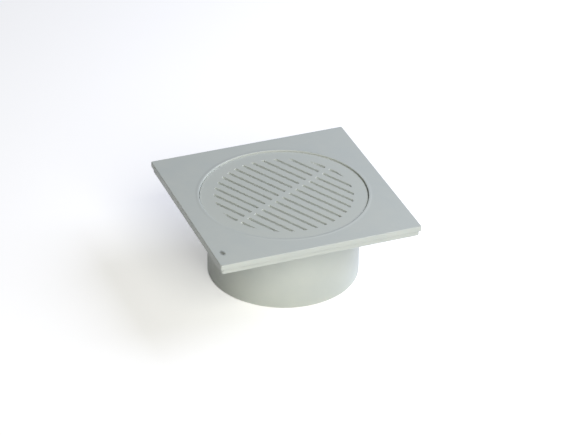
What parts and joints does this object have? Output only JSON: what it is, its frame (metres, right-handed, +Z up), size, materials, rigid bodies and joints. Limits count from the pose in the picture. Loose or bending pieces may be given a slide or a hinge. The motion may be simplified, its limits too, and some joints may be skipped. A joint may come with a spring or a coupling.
{
  "type": "balcony drain",
  "caption": "Square balcony drain with a stepped flange edge, a loose round slotted grate in its recess and a pipe spigot below.",
  "frame": {"origin": "centre of the spigot's lower rim, on the surface that the drain stands on", "axes": "+Z up along the spigot's axis towards the grate; X and Y square to the sides of the flange, -Y towards the front of the picture"},
  "size_m": [0.15, 0.15, 0.062],
  "materials": {
    "body_plastic": "satin pale grey moulded PVC",
    "grate_plastic": "satin pale grey moulded PVC"
  },
  "bodies": {
    "root": {"drain_body": "body_plastic", "round_grate": "grate_plastic"}
  },
  "joints": []
}
